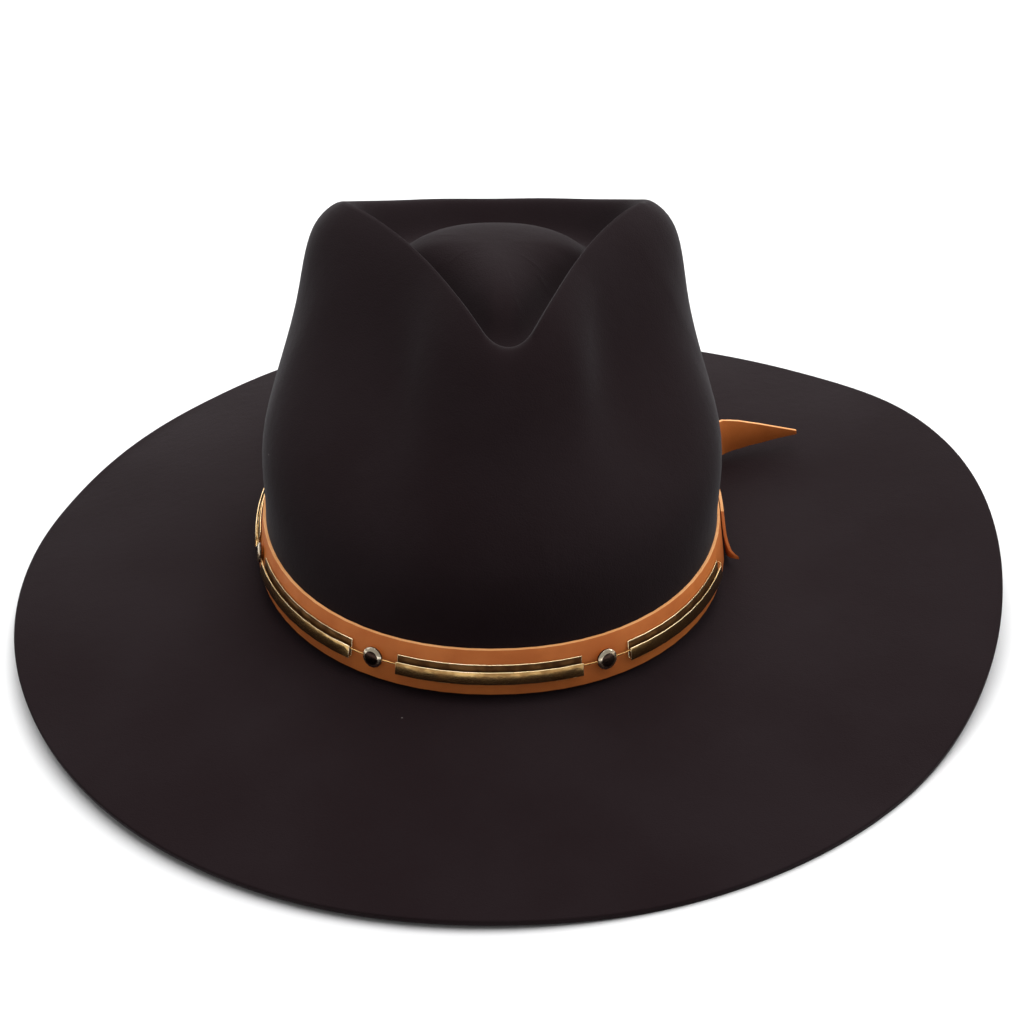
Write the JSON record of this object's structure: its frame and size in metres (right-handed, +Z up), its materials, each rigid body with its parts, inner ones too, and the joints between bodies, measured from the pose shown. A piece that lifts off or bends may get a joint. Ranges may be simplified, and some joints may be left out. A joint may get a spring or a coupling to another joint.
{
  "type": "fedora",
  "caption": "Wide-brim felt fedora with a creased and pinched crown and a leather band that carries a string of gold tubes and dark beads.",
  "frame": {"origin": "on the surface that the hat rests on, under the middle of its outline", "axes": "+Z up, the hat's front towards -Y, +X towards the wearer's left, where the band's ends cross"},
  "size_m": [0.3644, 0.3966, 0.1366],
  "materials": {
    "felt": "matt pressed felt, near black",
    "leather": "smooth tan leather with pale cut edges",
    "gold_tube": "polished gold, open along its top, with hammered marks",
    "dark_bead": "glossy dark disc with a bright bevel",
    "gold_wire": "thin gold wire"
  },
  "bodies": {
    "root": {"felt_body": "felt", "leather_band": "leather", "tube_bead_1": "gold_tube", "tube_bead_2": "gold_tube", "tube_bead_3": "gold_tube", "tube_bead_4": "gold_tube", "tube_bead_5": "gold_tube", "tube_bead_6": "gold_tube", "round_bead_1": "dark_bead", "round_bead_2": "dark_bead", "round_bead_3": "dark_bead", "round_bead_4": "dark_bead", "round_bead_5": "dark_bead", "round_bead_6": "dark_bead", "bead_wire": "gold_wire"}
  },
  "joints": []
}
